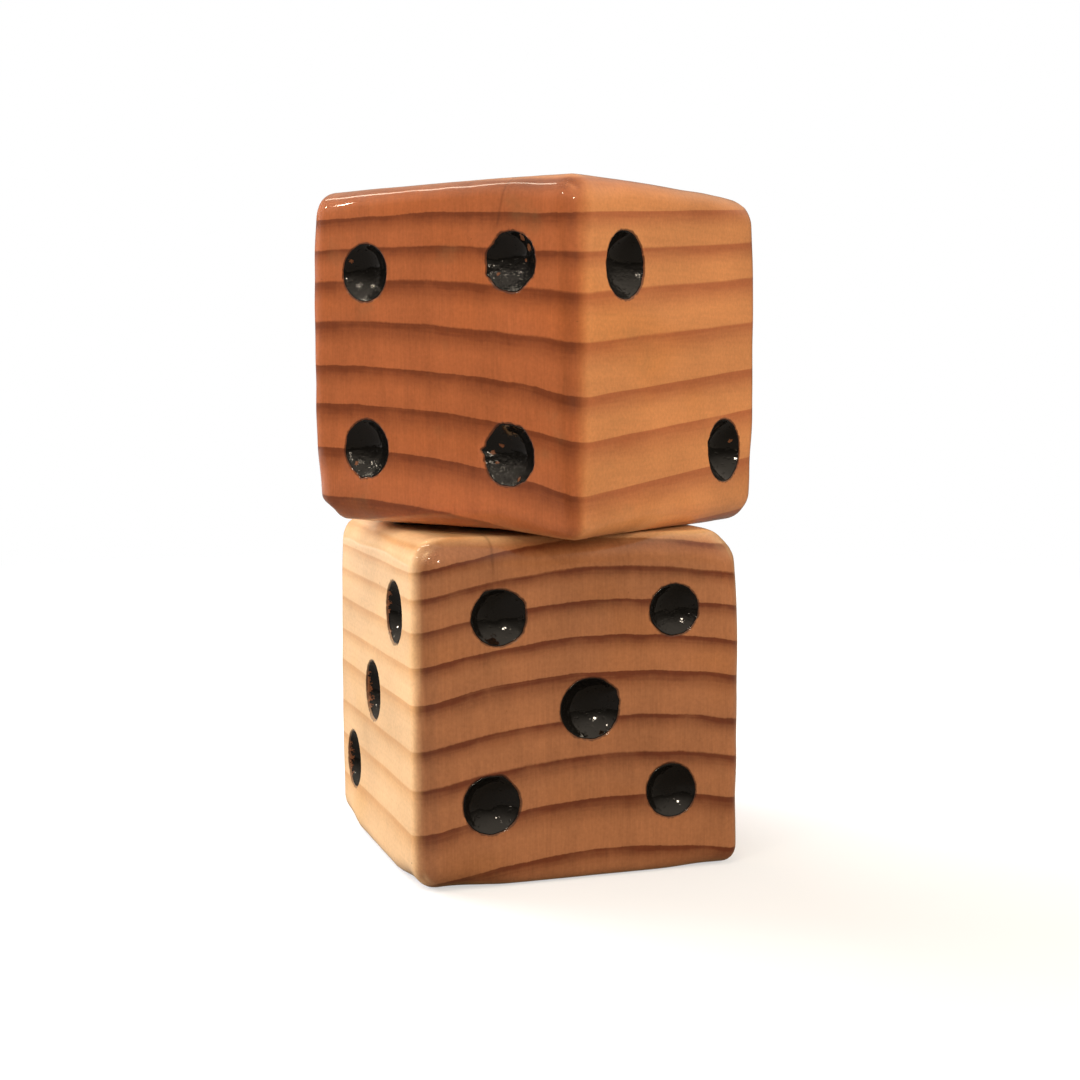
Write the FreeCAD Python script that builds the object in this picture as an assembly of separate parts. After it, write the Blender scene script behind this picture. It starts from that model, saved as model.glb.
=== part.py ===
import FreeCAD, Part

import math
import os

# A pair of giant yard dice, one resting on the other.  Each die is a cube sawn from a planed softwood
# post, with hand-sanded edges.  Its pips are shallow bowls cut with a round-nosed bit, and each bowl
# holds its own dried pool of black enamel.  Millimetres, +Z up, origin at the centre of the face that
# the lower die rests on.

SIDE = 88.9                 # a nominal 4 in post planed to 3 1/2 in, cut to the same length
BIT_RADIUS = 9.525          # 3/4 in round-nosed bit
ENAMEL_THICKNESS = 0.6      # measured square to the face; it thins towards the rim
ENAMEL_SETBACK = 0.2        # the enamel stops this far below the face

UPPER_TURN = 35.0           # degrees about +Z, from the lower die to the upper one
UPPER_SHIFT = (2.4, -0.6)   # centre of the upper die from the centre of the lower one

# Sanding radii: the edges round the bottom face, those round the top face, and the four upright edges in
# the order of their corners (x, y) in the die's own frame.
CORNERS = ((-1, -1), (1, -1), (1, 1), (-1, 1))
LOWER_SANDING = (3.0, 6.0, (5.5, 5.5, 7.0, 5.5))
UPPER_SANDING = (6.0, 5.0, (6.0, 5.5, 7.0, 5.0))

# Which way each numbered face looks.  Opposite faces add up to seven, and one, two and three run
# anticlockwise round the corner that they share.
LOWER_FACES = {
    "one": (0, 0, 1), "two": (0, 1, 0), "three": (-1, 0, 0),
    "four": (1, 0, 0), "five": (0, -1, 0), "six": (0, 0, -1),
}
UPPER_FACES = {
    "one": (0, 0, 1), "two": (0, -1, 0), "three": (1, 0, 0),
    "four": (-1, 0, 0), "five": (0, 1, 0), "six": (0, 0, -1),
}

# The pips as drilled by hand round a 24 mm layout: across and up from the middle of the face as it is
# seen from outside, then the bowl's diameter where it meets the face.
LOWER_PIPS = {
    "one": [(0.5, -0.5, 16.0)],
    "two": [(-24.0, 24.5, 15.5), (23.5, -24.0, 16.0)],
    "three": [(22.5, 24.0, 16.5), (-1.5, -0.5, 16.5), (-25.5, -24.5, 16.0)],
    "four": [(-24.5, 23.5, 15.0), (24.0, 24.0, 15.5), (-23.5, -24.5, 15.5), (24.0, -23.5, 16.0)],
    "five": [(-23.0, 24.5, 14.5), (24.5, 24.5, 13.5), (1.5, 0.0, 16.0), (-25.0, -23.0, 15.0), (24.0, -23.0, 14.0)],
    "six": [(-22.0, 24.0, 15.5), (-22.5, 0.5, 15.0), (-22.0, -24.0, 15.5),
            (22.0, 24.5, 15.0), (22.0, 0.0, 16.0), (22.5, -23.5, 15.5)],
}
UPPER_PIPS = {
    "one": [(-0.5, 0.5, 16.5)],
    "two": [(-24.5, 23.0, 17.0), (25.0, -24.5, 17.0)],
    "three": [(-24.0, 24.0, 16.0), (0.5, 0.5, 15.5), (24.0, -23.5, 16.0)],
    "four": [(-23.5, 22.5, 15.0), (24.0, 23.5, 15.0), (-23.5, -23.5, 15.0), (23.5, -24.0, 15.5)],
    "five": [(-24.0, 24.0, 15.5), (23.5, 24.5, 15.0), (-0.5, 0.0, 16.0), (-24.5, -24.0, 15.5), (24.0, -24.0, 15.0)],
    "six": [(-22.0, 23.5, 15.5), (-22.0, 0.0, 16.0), (-22.5, -24.0, 15.0),
            (22.5, 24.0, 15.5), (22.0, -0.5, 15.5), (22.0, -24.0, 16.0)],
}


def sanded_cube(sanding):
    """A cube about the origin with every edge rounded, its upright edges each to their own radius."""
    bottom, top, corner_radii = sanding
    half = SIDE / 2
    cube = Part.makeBox(SIDE, SIDE, SIDE, FreeCAD.Vector(-half, -half, -half))
    for (x, y), radius in zip(CORNERS, corner_radii):
        upright = [edge for edge in cube.Edges
                   if (edge.CenterOfMass - FreeCAD.Vector(x * half, y * half, 0)).Length < 0.01]
        cube = cube.makeFillet(radius, upright)
    for height, radius in ((-half, bottom), (half, top)):
        rim = [edge for edge in cube.Edges if abs(edge.CenterOfMass.z - height) < 0.01]
        cube = cube.makeFillet(radius, rim)
    return cube


def bowl_centre(normal, across, up, mouth):
    """Centre of the ball that cuts a bowl of this diameter, and how far it stands off the face."""
    out = FreeCAD.Vector(*normal)
    upward = FreeCAD.Vector(0, 1, 0) if normal[2] else FreeCAD.Vector(0, 0, 1)
    sideways = upward.cross(out)
    stand_off = math.sqrt(BIT_RADIUS ** 2 - (mouth / 2) ** 2)
    return sideways * across + upward * up + out * (SIDE / 2 + stand_off), out


def enamel_pool(centre, out):
    """The enamel that lines one bowl: the ball's cap inside the wood, less the same ball drawn outwards."""
    half = SIDE / 2 - ENAMEL_SETBACK
    inside = Part.makeBox(2 * half, 2 * half, 2 * half, FreeCAD.Vector(-half, -half, -half))
    ball = Part.makeSphere(BIT_RADIUS, centre)
    hollow = Part.makeSphere(BIT_RADIUS, centre + out * ENAMEL_THICKNESS)
    return ball.common(inside).cut(hollow)


def make_die(name, faces, pips, sanding, placement):
    """Export one die's block and its 21 pools of enamel, placed in the assembly."""
    block = sanded_cube(sanding)
    pools = {}
    for face, spots in pips.items():
        for number, (across, up, mouth) in enumerate(spots, 1):
            centre, out = bowl_centre(faces[face], across, up, mouth)
            block = block.cut(Part.makeSphere(BIT_RADIUS, centre))
            pools[f"{name}_pip_{face}_{number}"] = enamel_pool(centre, out)
    export(f"{name}_die_block", block, placement)
    for node, pool in pools.items():
        export(node, pool, placement)


def export(node, shape, placement):
    solid = shape.Solids[0].copy()
    solid.Placement = placement.multiply(solid.Placement)
    if len(shape.Solids) != 1 or not solid.isValid():
        raise ValueError(f"{node} is not one valid solid")
    solid.exportStep(f"parts/{node}.step")


os.makedirs("parts", exist_ok=True)
turn = FreeCAD.Rotation(FreeCAD.Vector(0, 0, 1), UPPER_TURN)
lower_place = FreeCAD.Placement(FreeCAD.Vector(0, 0, SIDE / 2), FreeCAD.Rotation())
upper_place = FreeCAD.Placement(FreeCAD.Vector(*UPPER_SHIFT, SIDE * 1.5), turn)
make_die("lower", LOWER_FACES, LOWER_PIPS, LOWER_SANDING, lower_place)
make_die("upper", UPPER_FACES, UPPER_PIPS, UPPER_SANDING, upper_place)
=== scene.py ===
import math
from collections import namedtuple

import bmesh
import bpy
from mathutils import Matrix, Vector, noise


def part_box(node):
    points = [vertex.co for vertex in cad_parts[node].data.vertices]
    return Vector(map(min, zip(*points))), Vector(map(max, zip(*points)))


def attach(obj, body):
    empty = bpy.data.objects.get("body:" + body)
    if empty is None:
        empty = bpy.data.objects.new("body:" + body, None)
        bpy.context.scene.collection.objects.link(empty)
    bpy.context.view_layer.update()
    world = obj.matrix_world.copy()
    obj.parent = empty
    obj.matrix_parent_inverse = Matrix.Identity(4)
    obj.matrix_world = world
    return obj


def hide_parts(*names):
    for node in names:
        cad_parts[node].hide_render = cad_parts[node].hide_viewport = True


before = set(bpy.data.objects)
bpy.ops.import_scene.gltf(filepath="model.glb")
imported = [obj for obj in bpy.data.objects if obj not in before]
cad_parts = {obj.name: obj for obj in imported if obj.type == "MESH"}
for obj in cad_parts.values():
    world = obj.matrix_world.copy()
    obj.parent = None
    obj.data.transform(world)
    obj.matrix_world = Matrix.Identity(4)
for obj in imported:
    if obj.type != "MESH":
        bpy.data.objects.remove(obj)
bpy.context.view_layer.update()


# ==== The lower die's block ====
# A cube sawn from a planed softwood post, 88.9 mm a side.  Its edges are rounded by hand with
# sandpaper, some corners more than others, and a round-nosed bit has cut 21 bowls into its faces.
# Each die is worked in millimetres about its own middle, then put where the frame has it.

MM = 0.001
HALF = (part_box("lower_die_block")[1].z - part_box("lower_die_block")[0].z) / MM / 2
CELL = 24.0             # the pips are laid out on this pitch, so each one has a square cell of it
CELL_STEPS = 16
BORDER_STEPS = 7        # from the outermost cells to the edge of the die
BIT_RADIUS = 9.525
ENAMEL_SETBACK = 0.2    # the frame's enamel stops this far below the face
HAND_WANDER = 0.2       # how far hand-sanding hollows a face
EDGE_BLEND = (HALF - 26, HALF - 8)      # one edge's radius turns into the next one's between these
CORNER_REACH = 16       # how far the wear of one corner reaches along its edges

# Sanding radii: the edges round the bottom and the top face, the upright edges by the signs of x and y,
# and how much more some corners are worn.  The lift is how far the -X edge of the bottom face is planed up.
Sanding = namedtuple("Sanding", "bottom top uprights worn lift")
LOWER_SANDING = Sanding(
    bottom=3.0, top=6.5, lift=0.0,
    uprights={(-1, -1): 6.5, (1, -1): 5.0, (1, 1): 7.0, (-1, 1): 5.0},
    worn={(1, -1, 1): 4.5, (1, 1, 1): 4.5, (-1, -1, 1): 1.5, (-1, 1, 1): 2.0,
          (-1, -1, -1): 0.3, (-1, 1, -1): 2.0, (1, -1, -1): -0.5})

Bowl = namedtuple("Bowl", "name place cell radius depth")


def smooth(low, high, value):
    t = max(0.0, min(1.0, (value - low) / (high - low)))
    return t * t * (3 - 2 * t)


def die_place(block, turn):
    """From millimetres about a die's middle to metres in the assembly."""
    low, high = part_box(block)
    return Matrix.Translation((low + high) / 2) @ Matrix.Rotation(turn, 4, "Z") @ Matrix.Scale(MM, 4)


def bowl_of(node, place):
    """One pip's bowl, read from the frame: its own axes (x across, y up, z out of the face) with the
    origin at the middle of its mouth, the same for the cell that it sits in, its radius and depth."""
    to_die = place.inverted()
    points = [to_die @ vertex.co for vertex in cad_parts[node].data.vertices]
    low = Vector([min(p[i] for p in points) for i in range(3)])
    high = Vector([max(p[i] for p in points) for i in range(3)])
    middle = (low + high) / 2
    size = high - low
    axis = min(range(3), key=lambda i: size[i])
    out = Vector((0, 0, 0))
    out[axis] = math.copysign(1, middle[axis])
    up = Vector((0, 1, 0)) if axis == 2 else Vector((0, 0, 1))
    turned = Matrix((up.cross(out), up, out)).transposed().to_4x4()
    middle[axis] = 0
    cell = Vector([CELL * round(c / CELL) for c in middle])
    depth = size[axis] + ENAMEL_SETBACK
    radius = math.sqrt(BIT_RADIUS ** 2 - (BIT_RADIUS - depth) ** 2)
    return Bowl(node, Matrix.Translation(middle + out * HALF) @ turned,
                Matrix.Translation(cell + out * HALF) @ turned, radius, depth)


def gridded_cube():
    """A plain cube whose faces are cut into three by three cells and a border, then finely gridded."""
    bm = bmesh.new()
    bmesh.ops.create_cube(bm, size=2 * HALF)
    for axis in range(3):
        for cut in (-1.5 * CELL, -0.5 * CELL, 0.5 * CELL, 1.5 * CELL):
            normal = Vector((0, 0, 0))
            normal[axis] = 1
            everything = bm.verts[:] + bm.edges[:] + bm.faces[:]
            bmesh.ops.bisect_plane(bm, geom=everything, plane_co=normal * cut, plane_no=normal)
    for length, steps in ((CELL, CELL_STEPS), (HALF - 1.5 * CELL, BORDER_STEPS)):
        edges = [e for e in bm.edges if abs(e.calc_length() - length) < 0.01]
        bmesh.ops.subdivide_edges(bm, edges=edges, cuts=steps - 1, use_grid_fill=True)
    return bm


def sanding_radius(point, sanding):
    """How far the edge nearest to this point is rounded over."""
    side = (math.copysign(1, point.x), math.copysign(1, point.y))
    upright = smooth(*EDGE_BLEND, abs(point.x)) * smooth(*EDGE_BLEND, abs(point.y))
    level = sanding.top if point.z > 0 else sanding.bottom
    level += (sanding.uprights[side] - level) * (1 - smooth(*EDGE_BLEND, abs(point.z)))
    radius = level + (sanding.uprights[side] - level) * upright
    for corner, extra in sanding.worn.items():
        reach = (point - Vector(corner) * HALF).length / CORNER_REACH
        radius += extra * math.exp(-reach * reach)
    return radius * (1 + 0.14 * noise.noise(point / 11))


def sand_edges(bm, sanding):
    for vertex in bm.verts:
        radius = sanding_radius(vertex.co, sanding)
        core = Vector([max(radius - HALF, min(HALF - radius, c)) for c in vertex.co])
        vertex.co = core + (vertex.co - core).normalized() * radius


def square_to_circle(x, y):
    """The angle, in even steps, that a point on the rim of a square goes to on a circle."""
    if abs(x) >= abs(y):
        return math.pi / 4 * y / x + (0 if x > 0 else math.pi)
    return math.pi / 2 - math.pi / 4 * x / y + (0 if y > 0 else math.pi)


# Rims that the bit tore, and single chips: the direction in degrees from across towards up, how wide in
# degrees, and how deep in millimetres.
TORN_RIMS = {"upper_pip_four_2": 0.35, "upper_pip_four_4": 0.35, "upper_pip_two_1": 0.2,
             "lower_pip_five_1": 0.2, "lower_pip_five_2": 0.15, "upper_pip_four_3": 0.15,
             "upper_pip_five_2": 0.35, "upper_pip_five_5": 0.3, "lower_pip_two_1": 0.25}
CHIPS = {"lower_pip_five_3": [(32, 16, 0.5), (12, 10, 0.35)],
         "lower_pip_five_1": [(118, 16, 0.5), (28, 14, 0.4)],
         "lower_pip_five_4": [(68, 18, 0.45)],
         "upper_pip_four_4": [(172, 9, 1.3), (60, 14, 0.5), (110, 18, 0.4)],
         "upper_pip_four_2": [(-158, 10, 0.6), (140, 18, -0.6), (35, 10, 0.4)],
         "upper_pip_four_3": [(-105, 12, 0.7)],
         "upper_pip_two_2": [(165, 9, 0.5)],
         "upper_pip_three_2": [(200, 12, 0.7)]}


def rim_radius(bowl, angle):
    """The mouth's radius in one direction: a hand drill wanders, and torn grain leaves it jagged."""
    round_about = Vector((math.cos(angle), math.sin(angle), 0))
    start = bowl.place.translation * 0.37
    radius = bowl.radius + 0.3 * noise.noise(round_about * 0.8 + start)
    torn = TORN_RIMS.get(bowl.name, 0.08)
    tears = torn * noise.noise(round_about * 2.6 + start)
    splinters = 0.4 * torn * noise.noise(round_about * 9 - start)
    radius += tears + splinters
    for at, width, depth in CHIPS.get(bowl.name, ()):
        off = abs(math.remainder(angle - math.radians(at), math.tau))
        radius += depth * max(0.0, 1 - off / math.radians(width))
    return radius


def off_middle(bowl, angle, share):
    """Distance from a bowl's middle: round inside, and following the ragged mouth only near the rim."""
    return share * bowl.radius + (rim_radius(bowl, angle) - bowl.radius) * share ** 6


def bowl_height(bowl, share):
    """Height of the cut wood, from the middle (share 0) to the rim (share 1)."""
    stand_off = BIT_RADIUS - bowl.depth
    return stand_off - math.sqrt(BIT_RADIUS ** 2 - (share * bowl.radius) ** 2)


# Rings round a bowl, from the flat of the face inwards: how far outside the rim, the height of the
# varnish over the face, and how much the wood is darkened there, partly torn end grain and partly
# painted shade in the hollow.
LIP = ((2.2, 0.0, 0.0), (1.2, 0.01, 0.25), (0.75, 0.04, 0.5), (0.4, 0.05, 0.8), (0.15, 0.0, 1.0),
       (0.0, -0.2, 1.0))
BOWL_SHARES = (0.965, 0.91, 0.83, 0.73, 0.61, 0.47, 0.32, 0.16)


def cut_bowl(bm, bowl):
    """Makes one polygon of the bowl's cell, and steps it inwards ring by ring, down to the bottom."""
    to_cell = bowl.cell.inverted()
    within = CELL / 2
    cell = []
    for face in bm.faces:
        x, y, z = to_cell @ face.calc_center_median()
        if abs(x) < within and abs(y) < within and abs(z) < 1:
            cell.append(face)
    floor = bmesh.ops.dissolve_faces(bm, faces=cell)["region"][0]
    bmesh.ops.subdivide_edges(bm, edges=floor.edges[:], cuts=1)
    floor = max(bm.faces, key=lambda face: len(face.verts))
    rim = bm.verts.layers.float["rim"]
    angles = [square_to_circle(*(to_cell @ vertex.co).xy) for vertex in floor.verts]
    # Each ring also carries how much the wood darkens there: partly torn end grain, partly painted shade in
    # the hollow.
    rings = [(outside, None, height, rim_darkening) for outside, height, rim_darkening in LIP]
    rings += [(0.0, share, 0.0, 1.0) for share in BOWL_SHARES]
    from_die = bowl.place.inverted()
    for number, (outside, share, height, rim_darkening) in enumerate(rings):
        bmesh.ops.inset_individual(bm, faces=[floor], thickness=0.02)
        if number:
            angles = [math.atan2(*(from_die @ vertex.co).yx) for vertex in floor.verts]
        for vertex, angle in zip(floor.verts, angles):
            radius = rim_radius(bowl, angle)
            if share is None:
                radius = outside + radius + (bowl.radius - radius) * smooth(0.3, 2.0, outside)
            else:
                radius = off_middle(bowl, angle, share)
                height = bowl_height(bowl, share)
            vertex.co = bowl.place @ Vector((radius * math.cos(angle), radius * math.sin(angle), height))
            vertex[rim] = rim_darkening
    bmesh.ops.poke(bm, faces=[floor])


def hollow_faces(bm, lift):
    """The slow waves that sandpaper leaves: every face sinks a little, unevenly, and none stands out.
    A lifted bottom edge also stands clear of what the die rests on, all below the pips of the sides."""
    for vertex in bm.verts:
        wave = noise.noise_vector(vertex.co / 17)
        vertex.co = Vector([c * (1 - HAND_WANDER / 2 / HALF * (1 - w)) for c, w in zip(vertex.co, wave)])
        outwards = smooth(-0.2, -1.0, vertex.co.x / HALF) * smooth(-0.95, -0.3, vertex.co.y / HALF)
        vertex.co.z += lift * outwards * smooth(11 - HALF, -HALF, vertex.co.z)


def finish_piece(bm, name, place, material):
    """Puts a mesh where the frame has it, and makes it an object at the origin."""
    bmesh.ops.transform(bm, matrix=place, verts=bm.verts)
    bmesh.ops.recalc_face_normals(bm, faces=bm.faces)
    mesh = bpy.data.meshes.new(name)
    bm.to_mesh(mesh)
    bm.free()
    mesh.shade_smooth()
    mesh.materials.append(material)
    piece = bpy.data.objects.new(name, mesh)
    bpy.context.scene.collection.objects.link(piece)
    return piece


def make_block(die, place, sanding, material):
    bowls = [bowl_of(node, place) for node in sorted(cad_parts) if node.startswith(die + "_pip")]
    bm = gridded_cube()
    bm.verts.layers.float.new("rim")
    sand_edges(bm, sanding)
    for bowl in bowls:
        cut_bowl(bm, bowl)
    hollow_faces(bm, sanding.lift)
    block = finish_piece(bm, die + "_block", place, material)
    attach(block, die + "_die")
    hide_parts(die + "_die_block")
    return bowls


def fill(tree, node, inputs):
    """Sets a shader node's inputs, each from a value or from a socket to link from."""
    for name, value in inputs.items():
        if isinstance(value, bpy.types.NodeSocket):
            tree.links.new(value, node.inputs[name])
        else:
            node.inputs[name].default_value = value


def add(tree, kind, inputs, **settings):
    """One shader node with its settings and inputs.  Returns its first output."""
    made = tree.nodes.new("ShaderNode" + kind)
    for name, value in settings.items():
        setattr(made, name, value)
    fill(tree, made, inputs)
    return next(out for out in made.outputs if out.enabled)


def maths(tree, operation, *values):
    return add(tree, "Math", dict(enumerate(values)), operation=operation)


def ease(tree, value, low, high, to_low=0.0, to_high=1.0):
    limits = {"Value": value, "From Min": low, "From Max": high, "To Min": to_low, "To Max": to_high}
    return add(tree, "MapRange", limits, interpolation_type="SMOOTHSTEP")


def share_of(tree, value, low, high):
    return add(tree, "MapRange", {"Value": value, "From Min": low, "From Max": high})


def blend(tree, share, first, second, how="MIX"):
    return add(tree, "Mix", {0: share, 6: first, 7: second}, data_type="RGBA", blend_type=how)


def blend_value(tree, share, first, second):
    return add(tree, "Mix", {0: share, 2: first, 3: second}, data_type="FLOAT")


def grain_noise(tree, place, scales, detail=2.0, roughness=0.5):
    """Noise from 0 to 1 at so many waves a millimetre across, along and up the tree."""
    stretched = add(tree, "VectorMath", {0: place, 1: scales}, operation="MULTIPLY")
    settings = {"Vector": stretched, "Scale": 1.0, "Detail": detail, "Roughness": roughness}
    return add(tree, "TexNoise", settings)


def new_group(name, inputs, outputs):
    """An empty shader group with named sockets; returns it with its input and output nodes."""
    group = bpy.data.node_groups.new(name, "ShaderNodeTree")
    for socket, kind in inputs.items():
        group.interface.new_socket(socket, in_out="INPUT", socket_type="NodeSocket" + kind)
    for socket, kind in outputs.items():
        group.interface.new_socket(socket, in_out="OUTPUT", socket_type="NodeSocket" + kind)
    return group, group.nodes.new("NodeGroupInput").outputs, group.nodes.new("NodeGroupOutput").inputs


def ring_height_group():
    """How far out from the heart of the tree a point lies, as the height in millimetres at which its
    growth ring crests.  Rings bow down on either side of the crest and flatten towards the bark."""
    tree, given, out = new_group(
        "growth ring height",
        {"Place": "Vector", "Crest": "Float", "Bow": "Float", "Flattening": "Float", "Rise": "Float"},
        {"Height": "Float"})
    parts = tree.nodes.new("ShaderNodeSeparateXYZ")
    tree.links.new(given["Place"], parts.inputs[0])
    across, along, up = parts.outputs
    off = maths(tree, "SUBTRACT", across, given["Crest"])
    drop = maths(tree, "MULTIPLY", maths(tree, "MULTIPLY", off, off), given["Bow"])
    flatter = maths(tree, "SUBTRACT", 1.0, maths(tree, "MULTIPLY", up, given["Flattening"]))
    height = maths(tree, "MULTIPLY_ADD", drop, flatter, up)
    from_end = maths(tree, "ADD", along, HALF)
    height = maths(tree, "SUBTRACT", height, maths(tree, "MULTIPLY", from_end, given["Rise"]))
    for scales, sway in (((0.028, 0.009, 0.028), 2.0), ((0.11, 0.016, 0.07), 0.9), ((0.9, 0.05, 0.3), 0.35)):
        drift = grain_noise(tree, given["Place"], scales)
        height = maths(tree, "ADD", height, maths(tree, "MULTIPLY_ADD", drift, sway, -sway / 2))
    tree.links.new(height, out["Height"])
    return tree


def softwood_group():
    """Colour of varnished softwood: pale early wood darkening through each year to a sharp line of late
    wood, stronger on the end grain, with rays, fibres, blotches, smudges, and rims darkened partly by
    torn end grain and partly by painted shade in the hollows of the bowls."""
    tree, given, out = new_group(
        "varnished softwood",
        {"Place": "Vector", "Height": "Float", "Year": "Float", "Fade": "Float", "End grain": "Float",
         "Rim": "Float", "Check": "Float", "Dirt": "Float", "Bubbles": "Float",
         "Side early": "Color", "Side late": "Color", "End early": "Color", "End late": "Color"},
        {"Color": "Color", "Roughness": "Float", "Relief": "Float"})
    place, end = given["Place"], given["End grain"]
    parts = tree.nodes.new("ShaderNodeSeparateXYZ")
    tree.links.new(place, parts.inputs[0])
    ring_place = add(tree, "CombineXYZ", {0: parts.outputs[0], 1: parts.outputs[1], 2: given["Height"]})
    laminae = grain_noise(tree, ring_place, (0.05, 0.03, 1.6), detail=2.0)
    late = maths(tree, "POWER", share_of(tree, given["Year"], 0.4, 0.95), given["Fade"])
    fading = grain_noise(tree, place, (0.11, 0.03, 0.06), detail=3.0, roughness=0.6)
    late = maths(tree, "MULTIPLY", late, maths(tree, "MULTIPLY_ADD", fading, 1.3, 0.4))
    late = maths(tree, "MULTIPLY", late, ease(tree, laminae, 0.3, 0.7, 0.9, 1.1))
    side = blend(tree, late, given["Side early"], given["Side late"])
    cut = blend(tree, late, given["End early"], given["End late"])
    colour = blend(tree, end, side, cut)

    rays = grain_noise(tree, place, (1.8, 1.8, 0.1), detail=2.0, roughness=0.7)
    fibres = grain_noise(tree, place, (1.3, 0.05, 1.3), detail=3.0)
    fibres = maths(tree, "MULTIPLY_ADD", fibres, 0.5, 0.25)
    grains = grain_noise(tree, place, (1.1, 1.1, 1.1), detail=3.0, roughness=0.65)
    blotch = grain_noise(tree, place, (0.045, 0.02, 0.045), detail=3.0)
    streaks = blend_value(tree, end, fibres, rays)
    shade = 1.0
    bands = grain_noise(tree, place, (0.22, 0.05, 0.05), detail=2.0)
    for pattern, strength in ((streaks, 0.36), (grains, 0.45), (blotch, 0.5), (bands, 0.3)):
        shade = maths(tree, "ADD", shade, maths(tree, "MULTIPLY_ADD", pattern, strength, -strength / 2))
    grey = add(tree, "CombineColor", {0: shade, 1: shade, 2: shade})
    colour = blend(tree, 1.0, colour, grey, "MULTIPLY")

    yellowing = ease(tree, grain_noise(tree, place, (0.03, 0.03, 0.05), detail=1.0), 0.5, 0.75)
    colour = blend(tree, maths(tree, "MULTIPLY", yellowing, 0.5), colour, (1.0, 0.93, 0.72, 1), "MULTIPLY")
    smudge = grain_noise(tree, place, (0.06, 0.04, 0.06), detail=4.0, roughness=0.6)
    smudge = maths(tree, "MULTIPLY", ease(tree, smudge, 0.58, 0.76), given["Dirt"])
    colour = blend(tree, smudge, colour, (0.2, 0.13, 0.055, 1))
    speck = grain_noise(tree, place, (0.55, 0.4, 0.55), detail=1.0)
    specks = maths(tree, "MULTIPLY", ease(tree, speck, 0.79, 0.87), 0.6)
    colour = blend(tree, specks, colour, (0.1, 0.04, 0.015, 1))
    # Painted shade round and inside the bowls: the wood darkens near each rim and down its hollow, partly
    # torn end grain, partly shade painted into the colour.
    rim_darkening = grain_noise(tree, place, (0.8, 0.8, 0.8), detail=3.0)
    near_rim = maths(tree, "MULTIPLY", given["Rim"], 1.3)
    stain_and_painted_shade = maths(tree, "SUBTRACT", near_rim, maths(tree, "MULTIPLY", rim_darkening, 1.1))
    stain_and_painted_shade = maths(tree, "MULTIPLY", ease(tree, stain_and_painted_shade, 0.3, 0.75), 0.7)
    colour = blend(tree, stain_and_painted_shade, colour, (0.04, 0.015, 0.008, 1))
    colour = blend(tree, given["Check"], colour, (0.07, 0.022, 0.009, 1))
    tree.links.new(colour, out["Color"])

    rough = maths(tree, "MULTIPLY_ADD", blotch, 0.2, 0.35)
    tree.links.new(maths(tree, "MULTIPLY_ADD", smudge, 0.3, rough), out["Roughness"])
    film = grain_noise(tree, place, (0.33, 0.33, 0.33), detail=1.0)
    relief = maths(tree, "MULTIPLY_ADD", streaks, 0.3, maths(tree, "MULTIPLY", film, 0.7))
    relief = maths(tree, "SUBTRACT", relief, maths(tree, "MULTIPLY", given["Check"], 0.4))
    froth = ease(tree, grain_noise(tree, place, (2.1, 2.1, 2.1), detail=1.0), 0.45, 0.65)
    relief = maths(tree, "MULTIPLY_ADD", maths(tree, "MULTIPLY", froth, given["Bubbles"]), 3.0, relief)
    tree.links.new(relief, out["Relief"])
    return tree


CHECK_ENDS = (-36.0, -30.0)     # a crack fades out between these, going in from the near end


def drying_check_group():
    """A hairline crack that runs down from the top of the near end, towards the heart of the tree."""
    tree, given, out = new_group(
        "drying check",
        {"Place": "Vector", "Across": "Float", "Lean": "Float", "Foot": "Float", "Strength": "Float"},
        {"Mask": "Float"})
    parts = tree.nodes.new("ShaderNodeSeparateXYZ")
    tree.links.new(given["Place"], parts.inputs[0])
    across, along, up = parts.outputs
    waver = grain_noise(tree, given["Place"], (0.2, 0.05, 0.2), detail=3.0)
    line = maths(tree, "SUBTRACT", across, given["Across"])
    below_top = maths(tree, "SUBTRACT", up, HALF)
    line = maths(tree, "SUBTRACT", line, maths(tree, "MULTIPLY", below_top, given["Lean"]))
    line = maths(tree, "ABSOLUTE", maths(tree, "ADD", line, maths(tree, "MULTIPLY_ADD", waver, 0.9, -0.45)))
    thin = maths(tree, "SUBTRACT", 1.0, ease(tree, line, 0.0, 0.7))
    high = ease(tree, maths(tree, "SUBTRACT", up, given["Foot"]), 0.0, 6.0)
    near = maths(tree, "SUBTRACT", 1.0, ease(tree, along, *CHECK_ENDS))
    mask = maths(tree, "MULTIPLY", maths(tree, "MULTIPLY", thin, high), near)
    tree.links.new(maths(tree, "MULTIPLY", mask, given["Strength"]), out["Mask"])
    return tree


RING_HEIGHT = ring_height_group()
SOFTWOOD = softwood_group()
DRYING_CHECK = drying_check_group()
RAMP_REACH = 58.0       # the growth rings are known this far below and above the middle of a die
RING_SHARPNESS = 0.25   # half the width of the step from late wood to the next year's early wood
FIBRE_RELIEF = 0.00012  # metres that the grain stands under the varnish


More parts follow.
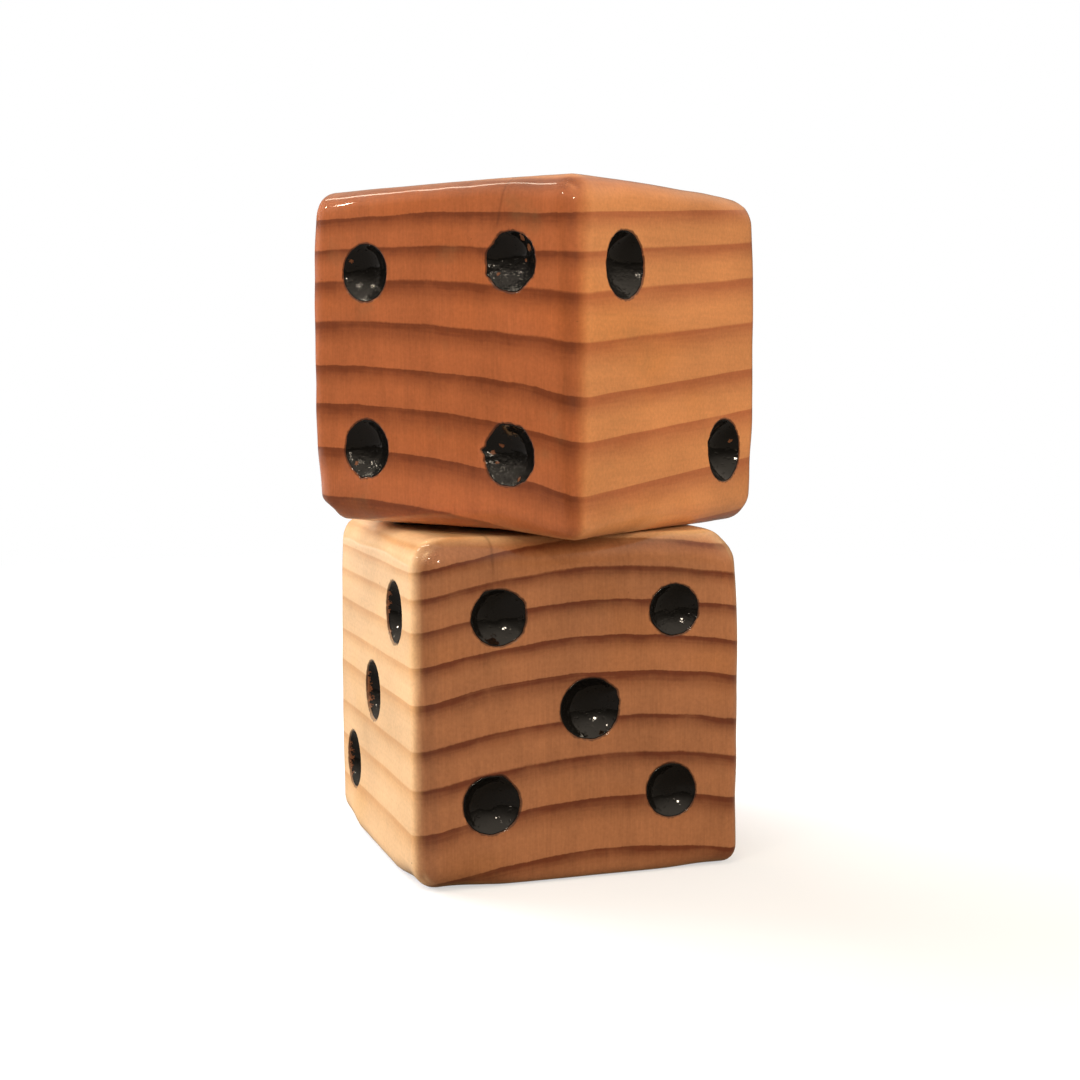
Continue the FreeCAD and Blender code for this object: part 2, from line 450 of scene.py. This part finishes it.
def wood_material(name, place, grain_turn, rings, crest, bow, flattening, rise, fade, dirt, colours, checks,
                  frothy_corner):
    """One length of timber.  rings are the heights at which its years end, at the crest of the rings."""
    material = bpy.data.materials.new(name)
    material.use_nodes = True
    tree = material.node_tree
    surface = tree.nodes["Principled BSDF"]
    coordinates = tree.nodes.new("ShaderNodeTexCoord").outputs
    turn = (0, 0, grain_turn)
    spot = add(tree, "Mapping", {"Vector": coordinates["Object"], "Location": place.translation,
                                 "Rotation": turn, "Scale": (MM, MM, MM)}, vector_type="TEXTURE")
    height = add(tree, "Group", {}, node_tree=RING_HEIGHT)
    settings = {"Place": spot, "Crest": crest, "Bow": bow, "Flattening": flattening, "Rise": rise}
    fill(tree, height.node, settings)

    ramp = tree.nodes.new("ShaderNodeValToRGB")
    tree.links.new(share_of(tree, height, -RAMP_REACH, RAMP_REACH), ramp.inputs[0])
    stops = ramp.color_ramp.elements
    stops.remove(stops[1])
    stops[0].position = 0.0
    stops[0].color = (0.5, 0.5, 0.5, 1)
    for ring in rings:
        for off, year in ((-RING_SHARPNESS, 1.0), (RING_SHARPNESS, 0.0)):
            stop = stops.new((ring + off + RAMP_REACH) / RAMP_REACH / 2)
            stop.color = (year, year, year, 1)

    facing = add(tree, "Mapping", {"Vector": coordinates["Normal"], "Rotation": turn}, vector_type="TEXTURE")
    parts = tree.nodes.new("ShaderNodeSeparateXYZ")
    tree.links.new(facing, parts.inputs[0])
    end_grain = ease(tree, maths(tree, "ABSOLUTE", parts.outputs[1]), 0.15, 0.85)

    cracks = 0.0
    for across, lean, foot, strength in checks:
        crack = add(tree, "Group", {}, node_tree=DRYING_CHECK)
        fill(tree, crack.node, {"Place": spot, "Across": across, "Lean": lean, "Foot": foot,
                                "Strength": strength})
        cracks = maths(tree, "MAXIMUM", cracks, crack)
    from_corner = add(tree, "VectorMath", {0: spot, 1: frothy_corner}, operation="DISTANCE").node
    bubbles = maths(tree, "SUBTRACT", 1.0, ease(tree, from_corner.outputs["Value"], 1.0, 4.0))
    rim = tree.nodes.new("ShaderNodeAttribute")
    rim.attribute_name = "rim"
    wood = add(tree, "Group", {}, node_tree=SOFTWOOD).node
    fill(tree, wood, {"Place": spot, "Height": height, "Year": ramp.outputs[0], "Fade": fade,
                      "End grain": end_grain, "Rim": rim.outputs["Fac"], "Check": cracks, "Dirt": dirt,
                      "Bubbles": bubbles, **colours})
    tree.links.new(wood.outputs["Color"], surface.inputs["Base Color"])
    tree.links.new(wood.outputs["Roughness"], surface.inputs["Roughness"])
    bump = add(tree, "Bump", {"Height": wood.outputs["Relief"], "Strength": 0.5, "Distance": FIBRE_RELIEF})
    tree.links.new(bump, surface.inputs["Normal"])
    surface.inputs["Specular IOR Level"].default_value = 0.25
    surface.inputs["Coat Weight"].default_value = 0.8
    surface.inputs["Coat Roughness"].default_value = 0.035
    return material


lower_place = die_place("lower_die_block", 0.0)
lower_wood = wood_material(
    "lower_die_wood", lower_place, 0.0,
    rings=(-48.5, -36.8, -23.2, -11.7, -1.8, 9.8, 18.9, 28.0, 36.4, 43.4, 49.5, 56.0),
    crest=8.0, bow=1 / 385, flattening=0.0, rise=0.0, fade=1.9, dirt=0.1,
    colours={"Side early": (0.8, 0.5, 0.25, 1), "Side late": (0.66, 0.35, 0.14, 1),
             "End early": (0.38, 0.152, 0.064, 1), "End late": (0.143, 0.035, 0.012, 1)},
    checks=[(-24.5, 0.0, 32.5, 0.38), (12.0, 0.05, 34.0, 0.14)],
    frothy_corner=(-40.5, -43.5, 41.0))
lower_bowls = make_block("lower", lower_place, LOWER_SANDING, lower_wood)


# ==== The upper die's block ====
# The same cube from another length of timber, redder and with flatter rings that climb along the grain.
# It stands on the lower die, turned by 35 degrees, with its end grain towards the left.

UPPER_TURN = math.radians(35)
UPPER_SANDING = Sanding(
    bottom=6.0, top=5.0, lift=1.5,
    uprights={(-1, -1): 6.0, (1, -1): 5.5, (1, 1): 7.0, (-1, 1): 5.0},
    worn={(-1, 1, -1): 4.5, (1, -1, 1): 1.8, (-1, 1, 1): 1.5, (-1, -1, 1): 2.2, (1, -1, -1): 2.5,
          (-1, -1, -1): -2.0})

upper_place = die_place("upper_die_block", UPPER_TURN)
upper_wood = wood_material(
    "upper_die_wood", upper_place, UPPER_TURN - math.pi / 2,
    rings=(-57.0, -47.5, -36.3, -23.3, -11.5, -1.5, 10.0, 20.5, 29.0, 37.0, 44.5, 52.0),
    crest=-38.0, bow=1 / 1000, flattening=1 / 60, rise=0.077, fade=1.4, dirt=0.25,
    colours={"Side early": (0.615, 0.255, 0.094, 1), "Side late": (0.42, 0.134, 0.05, 1),
             "End early": (0.435, 0.124, 0.039, 1), "End late": (0.19, 0.044, 0.012, 1)},
    checks=[(22.8, 0.25, 28.5, 0.35)],
    frothy_corner=(40.5, -43.0, 42.5))
upper_bowls = make_block("upper", upper_place, UPPER_SANDING, upper_wood)


# ==== The pools of enamel ====
# Thick black gloss enamel, brushed into each bowl and left to settle: a film up the wall and a small
# pool at the bottom.  It takes in the torn rims, and on some pips it stops short and leaves bare wood.

FILM = 0.16             # enamel on the wall
POOL_RISE = 0.3         # how far the settled pool stands over the bottom
FILM_SINK = 0.3         # the film's unseen back runs this far into the wood
TURNS = 128
# The film's section as shares of the way from the middle to its edge: the face that shows, then the
# one against the wood.
FILM_TOP = (0.0, 0.12, 0.24, 0.36, 0.47, 0.57, 0.66, 0.74, 0.81, 0.87, 0.92, 0.96, 0.985)
FILM_BACK = (1.0, 0.96, 0.8, 0.6, 0.3, 0.0)
# Pips whose enamel stops short of the rim: how far in, and towards which direction, in degrees.
BARE_RIMS = {"lower_pip_three_1": (0.035, 205), "lower_pip_three_2": (0.04, 215),
             "lower_pip_three_3": (0.04, 195)}
# Where the brushed enamel dried rough over torn grain, from 0 to 1; the others are nearly smooth.
ROUGH_POOLS = {"upper_pip_four_2": 0.8, "upper_pip_four_4": 1.0, "upper_pip_two_1": 0.5,
               "upper_pip_five_2": 0.8, "upper_pip_four_1": 0.35, "upper_pip_four_3": 0.45,
               "lower_pip_five_2": 0.3}
# Worn places where the wood shows through: direction in degrees, share of the way out, and size in mm.
THIN_PAINT = {"upper_pip_four_2": [(35, 0.75, 1.6), (62, 0.85, 1.4), (5, 0.35, 0.8), (-150, 0.75, 0.9)],
              "upper_pip_four_4": [(175, 0.8, 1.1), (150, 0.6, 1.0), (-70, 0.8, 1.0), (-160, 0.7, 0.8)],
              "upper_pip_four_1": [(150, 0.85, 1.0)], "upper_pip_four_3": [(-140, 0.8, 0.9)],
              "upper_pip_two_2": [(20, 0.8, 0.9)], "upper_pip_five_2": [(60, 0.8, 1.3)],
              "lower_pip_three_1": [(150, 1.04, 2.0), (168, 1.04, 2.3), (186, 1.04, 2.0),
                                    (225, 1.04, 1.7)],
              "lower_pip_three_2": [(152, 1.05, 2.1), (170, 1.04, 2.5), (188, 1.04, 2.8),
                                    (206, 1.04, 2.8), (224, 1.05, 2.4)],
              "lower_pip_three_3": [(154, 1.05, 2.3), (172, 1.04, 2.6), (190, 1.04, 2.7),
                                    (208, 1.05, 2.4), (226, 1.05, 2.0)]}


def enamel_material():
    material = bpy.data.materials.new("black_gloss_enamel")
    material.use_nodes = True
    tree = material.node_tree
    surface = tree.nodes["Principled BSDF"]
    spot = add(tree, "Mapping", {"Vector": tree.nodes.new("ShaderNodeTexCoord").outputs["Object"],
                                 "Scale": (1 / MM, 1 / MM, 1 / MM)})
    worn = {}
    for name in ("rough", "thin"):
        worn[name] = tree.nodes.new("ShaderNodeAttribute")
        worn[name].attribute_name = name
    rough, thin = worn["rough"].outputs["Fac"], worn["thin"].outputs["Fac"]
    clots = grain_noise(tree, spot, (1.7, 1.7, 1.7), detail=3.0, roughness=0.6)
    crinkles = grain_noise(tree, spot, (1.2, 1.2, 1.2), detail=1.0)
    bare = ease(tree, maths(tree, "MULTIPLY_ADD", thin, 0.9, clots), 0.88, 0.98)
    colour = blend(tree, bare, (0.0045, 0.004, 0.0035, 1), (0.18, 0.06, 0.02, 1))
    tree.links.new(colour, surface.inputs["Base Color"])
    cloudy = grain_noise(tree, spot, (0.35, 0.35, 0.35), detail=3.0)
    gloss = maths(tree, "MULTIPLY_ADD", ease(tree, cloudy, 0.35, 0.7), 0.08, 0.03)
    tree.links.new(maths(tree, "MULTIPLY_ADD", bare, 0.3, gloss), surface.inputs["Roughness"])
    wrinkles = maths(tree, "MULTIPLY", crinkles, maths(tree, "MULTIPLY_ADD", rough, 0.3, 0.004))
    nibs = ease(tree, grain_noise(tree, spot, (0.9, 0.9, 0.9), detail=1.0), 0.6, 0.75)
    relief = maths(tree, "MULTIPLY_ADD", nibs, 0.06, wrinkles)
    bump = add(tree, "Bump", {"Height": relief, "Strength": 1.0, "Distance": 0.001})
    tree.links.new(bump, surface.inputs["Normal"])
    return material


def pour_enamel(bowl, place, body, material):
    """Spins the film's section into a closed lens of unit radius, then lays it into its bowl."""
    bm = bmesh.new()
    rough = bm.verts.layers.float.new("rough")
    thin = bm.verts.layers.float.new("thin")
    section = [bm.verts.new((share, 0, 1)) for share in FILM_TOP]
    section += [bm.verts.new((share, 0, 0)) for share in FILM_BACK]
    edges = [bm.edges.new(pair) for pair in zip(section, section[1:])]
    bmesh.ops.spin(bm, geom=section + edges, cent=(0, 0, 0), axis=(0, 0, 1), angle=math.tau,
                   steps=TURNS, use_merge=True)
    bmesh.ops.remove_doubles(bm, verts=bm.verts, dist=0.001)
    short, towards = BARE_RIMS.get(bowl.name, (0.0, 0))
    roughness = ROUGH_POOLS.get(bowl.name, 0.05)
    for vertex in bm.verts:
        angle = math.atan2(vertex.co.y, vertex.co.x)
        facing = 0.5 + 0.5 * math.cos(angle - math.radians(towards))
        round_about = Vector((math.cos(angle), math.sin(angle), 0))
        ragged = 0.012 * noise.noise(round_about * 5 + bowl.place.translation)
        share = math.hypot(vertex.co.x, vertex.co.y) * (1.0 + ragged - short * facing ** 2)
        radius = off_middle(bowl, angle, share)
        wood = bowl_height(bowl, min(share, 1.0)) - 0.14 * smooth(0.93, 1.0, share)
        spot = Vector((radius * math.cos(angle), radius * math.sin(angle), wood))
        if vertex.co.z > 0.5:
            waves = noise.noise((bowl.place @ spot) * 0.45)
            wall = wood + FILM + (0.06 + 0.08 * roughness) * waves
            level = POOL_RISE - bowl.depth
            spot.z = wall + smooth(-1.2, 0.8, level - wall) * max(0.0, level - wall + 0.1)
        else:
            spot.z = wood - FILM_SINK
        vertex[rough] = roughness * smooth(1.5, -3.0, spot.y)
        for at, out, size in THIN_PAINT.get(bowl.name, ()):
            centre = Vector((math.cos(math.radians(at)), math.sin(math.radians(at)))) * out * bowl.radius
            vertex[thin] = max(vertex[thin], 1 - (spot.xy - centre).length / size)
        vertex.co = bowl.place @ spot
    pool = finish_piece(bm, bowl.name.replace("pip", "enamel"), place, material)
    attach(pool, body)
    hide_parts(bowl.name)


enamel = enamel_material()
for bowl in lower_bowls:
    pour_enamel(bowl, lower_place, "lower_die", enamel)
for bowl in upper_bowls:
    pour_enamel(bowl, upper_place, "upper_die", enamel)


# ==== Floor, light and camera ====
# A plain pale floor.  Four wide soft lights shape the wood: a window at the far left, one overhead, one
# in front and one on the right.  Four small warm lamps make the glints in the varnish and the enamel.

FLOOR_RADIUS = 3.0
FLOOR_FADE = (0.3, 0.8)     # the floor turns into the white backdrop between these distances

floor_bm = bmesh.new()
bmesh.ops.create_circle(floor_bm, cap_ends=True, segments=64, radius=FLOOR_RADIUS)
floor_mesh = bpy.data.meshes.new("floor")
floor_bm.to_mesh(floor_mesh)
floor_bm.free()
floor = bpy.data.objects.new("floor", floor_mesh)
bpy.context.scene.collection.objects.link(floor)
floor_paint = bpy.data.materials.new("pale_floor")
floor_paint.use_nodes = True
floor_tree = floor_paint.node_tree
floor_tree.nodes.remove(floor_tree.nodes["Principled BSDF"])
direct = floor_tree.nodes.new("ShaderNodeLightPath").outputs["Is Camera Ray"]
underside = floor_tree.nodes.new("ShaderNodeNewGeometry").outputs["Backfacing"]
floor_spot = floor_tree.nodes.new("ShaderNodeTexCoord").outputs["Object"]
reflected = floor_tree.nodes.new("ShaderNodeLightPath").outputs["Is Glossy Ray"]
shade_of_floor = blend(floor_tree, direct, (0.3, 0.29, 0.27, 1), (0.5, 0.5, 0.5, 1))
shade_of_floor = blend(floor_tree, reflected, shade_of_floor, (0.13, 0.12, 0.11, 1))
lit = add(floor_tree, "BsdfDiffuse", {"Color": shade_of_floor})
glow_strength = maths(floor_tree, "MULTIPLY", direct, 0.5)
glow = add(floor_tree, "Emission", {"Color": (1, 1, 1, 1), "Strength": glow_strength})
near_floor = add(floor_tree, "AddShader", {0: lit, 1: glow})
white = add(floor_tree, "Emission", {"Color": (1, 1, 1, 1), "Strength": 1.0})
away = add(floor_tree, "VectorMath", {0: floor_spot}, operation="LENGTH").node.outputs["Value"]
away = maths(floor_tree, "MULTIPLY", ease(floor_tree, away, *FLOOR_FADE), direct)
whole_floor = add(floor_tree, "MixShader", {0: away, 1: near_floor, 2: white})
see_through = add(floor_tree, "BsdfTransparent", {})
one_sided = add(floor_tree, "MixShader", {0: underside, 1: whole_floor, 2: see_through})
floor_tree.links.new(one_sided, floor_tree.nodes["Material Output"].inputs["Surface"])
floor_mesh.materials.append(floor_paint)

CAMERA_TURN = math.radians(-18.6)       # from straight at the lower die's five face, towards its three
CAMERA_STAND = Vector((0.0002, -0.4704, 0.1283))
CAMERA_TILT = math.radians(5.41)
CAMERA_PAN = math.radians(-0.33)
CAMERA_LENS = 56.8
AIM = Vector((0, 0, 2 * HALF * MM))
LAMP_DISTANCE = 1.6


def lamp(name, azimuth, elevation, width, height, power, colour, mirrored=True):
    """A soft light, placed by its direction as seen from behind the camera, facing the dice.  The
    largest ones only light the wood and are not mirrored in the varnish."""
    turn, tilt = math.radians(azimuth) + CAMERA_TURN, math.radians(elevation)
    back = Vector((math.sin(turn) * math.cos(tilt), -math.cos(turn) * math.cos(tilt), math.sin(tilt)))
    light = bpy.data.lights.new(name, "AREA")
    light.shape = "RECTANGLE"
    light.size = width
    light.size_y = height
    light.energy = power
    light.color = colour
    holder = bpy.data.objects.new(name, light)
    holder.location = AIM + back * LAMP_DISTANCE
    holder.rotation_euler = back.to_track_quat("Z", "Y").to_euler()
    holder.visible_glossy = mirrored
    bpy.context.scene.collection.objects.link(holder)


DAYLIGHT = (1.0, 1.02, 1.1)
WARM = (1.0, 0.86, 0.68)
lamp("window", -130, 15, 1.9, 0.7, 66, DAYLIGHT, mirrored=False)
lamp("overhead", -30, 70, 0.8, 0.8, 10, WARM, mirrored=False)
lamp("front_fill", 0, 8, 0.8, 0.6, 5.5, WARM, mirrored=False)
lamp("right_fill", 80, 20, 0.8, 0.8, 15.5, WARM, mirrored=False)
lamp("left_lamp", -92, 31, 0.07, 0.07, 1.2, WARM)
lamp("near_left_lamp", -37, 41, 0.09, 0.09, 1.5, WARM)
lamp("camera_lamp", 9, 28, 0.12, 0.1, 3, WARM)
lamp("back_overhead", -118, 52, 0.16, 0.6, 3, WARM)

world = bpy.data.worlds.new("surround")
bpy.context.scene.world = world
world.use_nodes = True
sky = world.node_tree
rays = sky.nodes.new("ShaderNodeLightPath").outputs
around = add(sky, "SeparateXYZ", {0: sky.nodes.new("ShaderNodeTexCoord").outputs["Generated"]})
ceiling = ease(sky, around.node.outputs["Z"], -0.05, 0.9, 0.05, 0.9)
strength = blend_value(sky, rays["Is Glossy Ray"], 0.28, ceiling)
tint = blend(sky, rays["Is Glossy Ray"], (1, 0.95, 0.88, 1), (1, 0.86, 0.7, 1))
surround = add(sky, "Background", {"Color": tint, "Strength": strength})
backdrop = add(sky, "Background", {"Color": (1, 1, 1, 1), "Strength": 1.0})
shown = add(sky, "MixShader", {0: rays["Is Camera Ray"], 1: surround, 2: backdrop})
sky.links.new(shown, sky.nodes["World Output"].inputs["Surface"])

camera_data = bpy.data.cameras.new("camera")
camera_data.lens = CAMERA_LENS
camera_data.clip_start = 0.01
camera = bpy.data.objects.new("camera", camera_data)
camera.location = Matrix.Rotation(CAMERA_TURN, 3, "Z") @ CAMERA_STAND
camera.rotation_euler = (math.pi / 2 - CAMERA_TILT, 0, CAMERA_TURN + CAMERA_PAN)
bpy.context.scene.collection.objects.link(camera)
bpy.context.scene.camera = camera
bpy.context.scene.view_settings.view_transform = "Standard"
